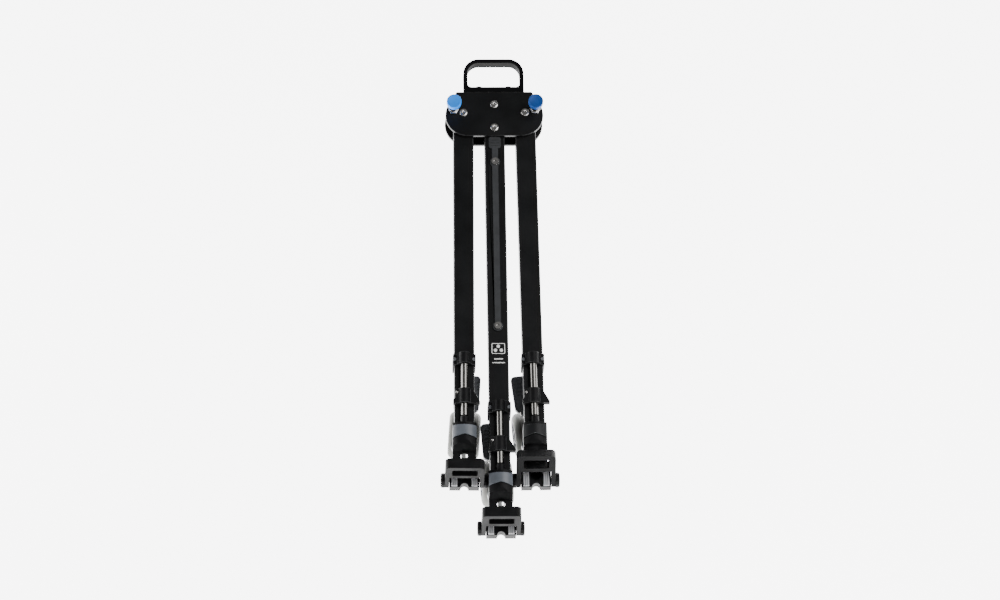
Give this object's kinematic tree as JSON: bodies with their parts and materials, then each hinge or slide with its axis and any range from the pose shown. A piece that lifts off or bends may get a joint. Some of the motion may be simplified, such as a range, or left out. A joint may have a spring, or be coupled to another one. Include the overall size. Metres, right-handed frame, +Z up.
{
  "type": "folding tripod dolly",
  "caption": "Folding wheeled tripod dolly, shown folded: square arms on a two-plate hub, a carry handle, lock rods, braked swivel casters and foot bails.",
  "frame": {"origin": "on the ground under the middle of the folded dolly: z = 0 touches the wheels, x = 0 is the centre arm's line, y = 0 is half way between the carry handle and the centre arm's foot", "axes": "+Z up with the hub plates level, arms folded towards -Y, carry handle at +Y, +X to the right for someone at the feet looking at the hub"},
  "size_m": [0.1764, 0.755, 0.169],
  "materials": {
    "anodised_black": "satin black anodised aluminium",
    "handle_black": "semi-gloss black powder coat",
    "plastic_black": "fine-textured black moulded nylon",
    "cast_grey": "smooth mid grey moulded cover",
    "strap_rubber": "dark grey moulded rubber",
    "pad_rubber": "light grey ribbed rubber",
    "chrome_steel": "polished chrome plated steel",
    "knob_light_blue": "light blue anodised aluminium",
    "knob_dark_blue": "dark blue anodised aluminium",
    "tyre_grey": "pale grey thermoplastic rubber",
    "wheel_grey": "dark grey moulded plastic",
    "fork_zinc": "zinc plated steel and alloy"
  },
  "bodies": {
    "hub": {"top_plate": "anodised_black", "bottom_plate": "anodised_black", "hub_spacer": "anodised_black", "hub_screws": "chrome_steel", "plunger_collars": "chrome_steel", "carry_handle": "handle_black", "handle_screws": "chrome_steel", "strap": "strap_rubber", "strap_screws": "chrome_steel", "centre_tube": "anodised_black", "centre_rod_collar": "plastic_black", "centre_end_housing": "plastic_black", "centre_chevron_cover": "cast_grey", "centre_foot_cradle": "plastic_black", "centre_foot_pads": "pad_rubber", "centre_cradle_bolt": "chrome_steel"},
    "left_arm": {"left_pivot_block": "plastic_black", "left_tube": "anodised_black", "left_rod_collar": "plastic_black", "left_end_housing": "plastic_black", "left_chevron_cover": "cast_grey", "left_foot_cradle": "plastic_black", "left_foot_pads": "pad_rubber", "left_cradle_bolt": "chrome_steel"},
    "left_plunger": {"left_plunger_knob": "knob_light_blue", "left_plunger_pin": "chrome_steel"},
    "right_arm": {"right_pivot_block": "plastic_black", "right_tube": "anodised_black", "right_rod_collar": "plastic_black", "right_end_housing": "plastic_black", "right_chevron_cover": "cast_grey", "right_foot_cradle": "plastic_black", "right_foot_pads": "pad_rubber", "right_cradle_bolt": "chrome_steel"},
    "right_plunger": {"right_plunger_knob": "knob_dark_blue", "right_plunger_pin": "chrome_steel"},
    "left_lock": {"left_lock_rod": "chrome_steel", "left_rod_grip": "plastic_black"},
    "left_caster": {"left_caster_fork": "fork_zinc", "left_axle": "chrome_steel"},
    "left_wheels": {"left_tyres": "tyre_grey", "left_wheel_hubs": "wheel_grey"},
    "left_pedal": {"left_brake_pedal": "wheel_grey"},
    "left_bail": {"left_foot_bail": "plastic_black"},
    "centre_lock": {"centre_lock_rod": "chrome_steel", "centre_rod_grip": "plastic_black"},
    "centre_caster": {"centre_caster_fork": "fork_zinc", "centre_axle": "chrome_steel"},
    "centre_wheels": {"centre_tyres": "tyre_grey", "centre_wheel_hubs": "wheel_grey"},
    "centre_pedal": {"centre_brake_pedal": "wheel_grey"},
    "centre_bail": {"centre_foot_bail": "plastic_black"},
    "right_lock": {"right_lock_rod": "chrome_steel", "right_rod_grip": "plastic_black"},
    "right_caster": {"right_caster_fork": "fork_zinc", "right_axle": "chrome_steel"},
    "right_wheels": {"right_tyres": "tyre_grey", "right_wheel_hubs": "wheel_grey"},
    "right_pedal": {"right_brake_pedal": "wheel_grey"},
    "right_bail": {"right_foot_bail": "plastic_black"}
  },
  "joints": [
    {"name": "left_arm_fold", "type": "hinge", "parent": "hub", "child": "left_arm", "pos_m": [-0.046, 0.2885, 0.112], "axis": [0, 0, -1], "range_deg": [0, 119.3]},
    {"name": "left_plunger_slide", "type": "slide", "parent": "hub", "child": "left_plunger", "axis": [0, 0, 1], "range_m": [-0.008, 0]},
    {"name": "right_arm_fold", "type": "hinge", "parent": "hub", "child": "right_arm", "pos_m": [0.046, 0.2885, 0.112], "axis": [0, 0, 1], "range_deg": [0, 119.3]},
    {"name": "right_plunger_slide", "type": "slide", "parent": "hub", "child": "right_plunger", "axis": [0, 0, 1], "range_m": [-0.008, 0]},
    {"name": "left_lock_slide", "type": "slide", "parent": "left_arm", "child": "left_lock", "axis": [0.0122, 0.9999, 0], "range_m": [0, 0.014], "stiffness_N_per_m": 250},
    {"name": "left_caster_swivel", "type": "hinge", "parent": "left_arm", "child": "left_caster", "pos_m": [-0.05232, -0.22846, 0.092], "axis": [0, 0, 1], "range_deg": [-3, 140]},
    {"name": "left_wheel_spin", "type": "hinge", "parent": "left_caster", "child": "left_wheels", "pos_m": [-0.04953, -0.19056, 0.035], "axis": [0.9973, -0.0732, 0], "continuous": true},
    {"name": "left_brake_pedal", "type": "hinge", "parent": "left_caster", "child": "left_pedal", "pos_m": [-0.04807, -0.17062, 0.077], "axis": [0.9973, -0.0732, 0], "range_deg": [0, 12]},
    {"name": "left_foot_bail_tilt", "type": "hinge", "parent": "left_arm", "child": "left_bail", "pos_m": [-0.05305, -0.28846, 0.105], "axis": [-0.9999, 0.0122, 0], "range_deg": [-90, 26]},
    {"name": "centre_lock_slide", "type": "slide", "parent": "hub", "child": "centre_lock", "axis": [0, 1, 0], "range_m": [0, 0.014], "stiffness_N_per_m": 250},
    {"name": "centre_caster_swivel", "type": "hinge", "parent": "hub", "child": "centre_caster", "pos_m": [0, -0.3045, 0.092], "axis": [0, 0, -1], "range_deg": [-3, 8]},
    {"name": "centre_wheel_spin", "type": "hinge", "parent": "centre_caster", "child": "centre_wheels", "pos_m": [-0.00265, -0.26659, 0.035], "axis": [0.9976, 0.0698, 0], "continuous": true},
    {"name": "centre_brake_pedal", "type": "hinge", "parent": "centre_caster", "child": "centre_pedal", "pos_m": [-0.00405, -0.24664, 0.077], "axis": [0.9976, 0.0698, 0], "range_deg": [0, 12]},
    {"name": "centre_foot_bail_tilt", "type": "hinge", "parent": "hub", "child": "centre_bail", "pos_m": [0, -0.3645, 0.105], "axis": [-1, 0, 0], "range_deg": [-90, 26]},
    {"name": "right_lock_slide", "type": "slide", "parent": "right_arm", "child": "right_lock", "axis": [-0.0122, 0.9999, 0], "range_m": [0, 0.014], "stiffness_N_per_m": 250},
    {"name": "right_caster_swivel", "type": "hinge", "parent": "right_arm", "child": "right_caster", "pos_m": [0.05232, -0.22846, 0.092], "axis": [0, 0, -1], "range_deg": [-3, 140]},
    {"name": "right_wheel_spin", "type": "hinge", "parent": "right_caster", "child": "right_wheels", "pos_m": [0.04755, -0.19076, 0.035], "axis": [0.9921, 0.1253, 0], "continuous": true},
    {"name": "right_brake_pedal", "type": "hinge", "parent": "right_caster", "child": "right_pedal", "pos_m": [0.04505, -0.17092, 0.077], "axis": [0.9921, 0.1253, 0], "range_deg": [0, 12]},
    {"name": "right_foot_bail_tilt", "type": "hinge", "parent": "right_arm", "child": "right_bail", "pos_m": [0.05305, -0.28846, 0.105], "axis": [-0.9999, -0.0122, 0], "range_deg": [-113, 3]}
  ]
}
